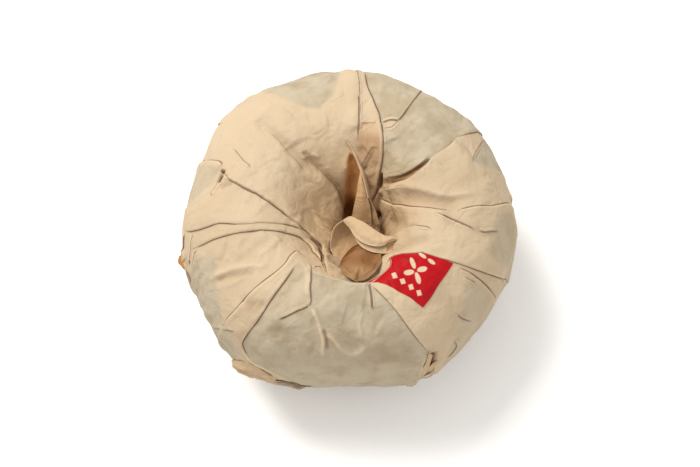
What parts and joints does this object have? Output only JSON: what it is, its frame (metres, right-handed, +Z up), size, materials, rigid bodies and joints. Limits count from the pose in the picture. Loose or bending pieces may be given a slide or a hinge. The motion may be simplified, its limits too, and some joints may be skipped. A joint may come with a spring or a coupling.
{
  "type": "paper-wrapped pu-erh tuocha",
  "caption": "Round nest of pressed tea in thin paper, with a hollow in its top where the pleated wrapper is gathered and twisted shut. Rests on its round side.",
  "frame": {"origin": "on the table under the middle of the pack's box", "axes": "+Z up through the hollow; +X to the side where the red seal's fold runs, +Y to the back"},
  "size_m": [0.083, 0.0816, 0.0477],
  "materials": {
    "wrapping_paper": "thin matte cream tissue paper, greyish where a single layer lies on the tea",
    "seal_print": "matte red print on the wrapping paper"
  },
  "bodies": {
    "root": {"wrapped_tuocha": "wrapping_paper"}
  },
  "joints": []
}
